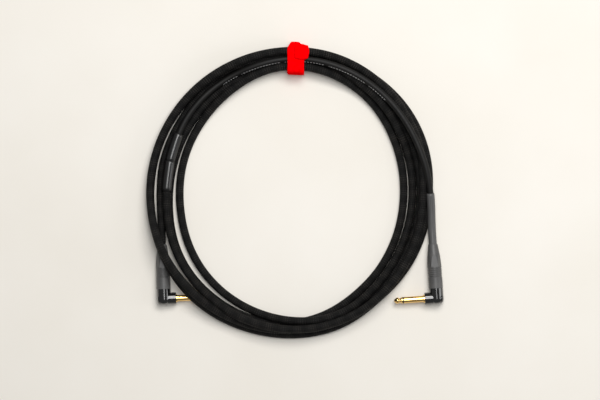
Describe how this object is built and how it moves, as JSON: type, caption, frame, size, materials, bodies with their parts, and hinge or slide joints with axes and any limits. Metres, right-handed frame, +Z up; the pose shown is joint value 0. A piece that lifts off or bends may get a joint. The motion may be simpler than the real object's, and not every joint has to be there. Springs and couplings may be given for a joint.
{
  "type": "instrument cable",
  "caption": "Coiled instrument cable with two right-angle jack plugs, screw boots, part-braided jacket, heat-shrink splice and a hook-and-loop tie.",
  "frame": {"origin": "on the surface that the coil lies on, below the middle of the plugs, tie and sleeves taken together", "axes": "+Z up from the surface; +Y from the plugs towards the tie; +X from plug A towards plug B"},
  "size_m": [0.2964, 0.2952, 0.0294],
  "materials": {
    "elbow": "gloss black",
    "contact": "gold plated, polished",
    "insulator": "matt black",
    "lug": "tinned",
    "chuck": "matt",
    "boot": "soft matt dark grey",
    "core": "matt white",
    "copper": "bare copper",
    "solder": "solder",
    "braid": "black braided textile",
    "jacket": "satin black jacket",
    "heat_shrink": "satin heat-shrink",
    "splice": "glossy heat-shrink",
    "strap": "red hook-and-loop fabric"
  },
  "bodies": {
    "root": {"plug_a_elbow_housing": "elbow", "plug_a_pin_sleeve": "contact", "plug_a_pin_tip": "contact", "plug_a_tip_ring": "insulator", "plug_a_inner_insulator": "insulator", "plug_a_tip_lug": "lug", "plug_a_ground_lug": "lug", "plug_a_core_wire": "core", "plug_a_shield_pigtail": "copper", "plug_a_solder_joints": "solder", "plug_b_elbow_housing": "elbow", "plug_b_pin_sleeve": "contact", "plug_b_pin_tip": "contact", "plug_b_tip_ring": "insulator", "plug_b_inner_insulator": "insulator", "plug_b_tip_lug": "lug", "plug_b_ground_lug": "lug", "plug_b_core_wire": "core", "plug_b_shield_pigtail": "copper", "plug_b_solder_joints": "solder", "cable_coil": "braid", "lead_a": "braid", "lead_b": "jacket", "lead_a_sleeve": "heat_shrink", "lead_b_sleeve": "heat_shrink", "splice_sleeve_front": "splice", "splice_sleeve_rear": "splice", "tie_strap": "strap", "tie_tab": "strap"},
    "plug_a_chuck": {"plug_a_chuck": "chuck"},
    "plug_a_boot": {"plug_a_boot": "boot"},
    "plug_b_chuck": {"plug_b_chuck": "chuck"},
    "plug_b_boot": {"plug_b_boot": "boot"}
  },
  "joints": [
    {"name": "plug_a_chuck_slide", "type": "slide", "parent": "root", "child": "plug_a_chuck", "axis": [-0.0349, 0.9994, 0], "range_m": [0, 0.007]},
    {"name": "plug_a_boot_screw", "type": "hinge", "parent": "plug_a_chuck", "child": "plug_a_boot", "pos_m": [-0.13617, -0.09952, 0.0071], "axis": [-0.0349, 0.9994, 0], "range_deg": [0, 1260.1]},
    {"name": "plug_b_chuck_slide", "type": "slide", "parent": "root", "child": "plug_b_chuck", "axis": [-0.0698, 0.9976, 0], "range_m": [0, 0.007]},
    {"name": "plug_b_boot_screw", "type": "hinge", "parent": "plug_b_chuck", "child": "plug_b_boot", "pos_m": [0.13476, -0.09886, 0.0071], "axis": [-0.0698, 0.9976, 0], "range_deg": [0, 1260.1]}
  ],
  "couplings": [
    {"joint": "plug_a_boot_screw", "follows": "plug_a_chuck_slide", "rad_per_m": 3141.6},
    {"joint": "plug_b_boot_screw", "follows": "plug_b_chuck_slide", "rad_per_m": 3141.6}
  ]
}
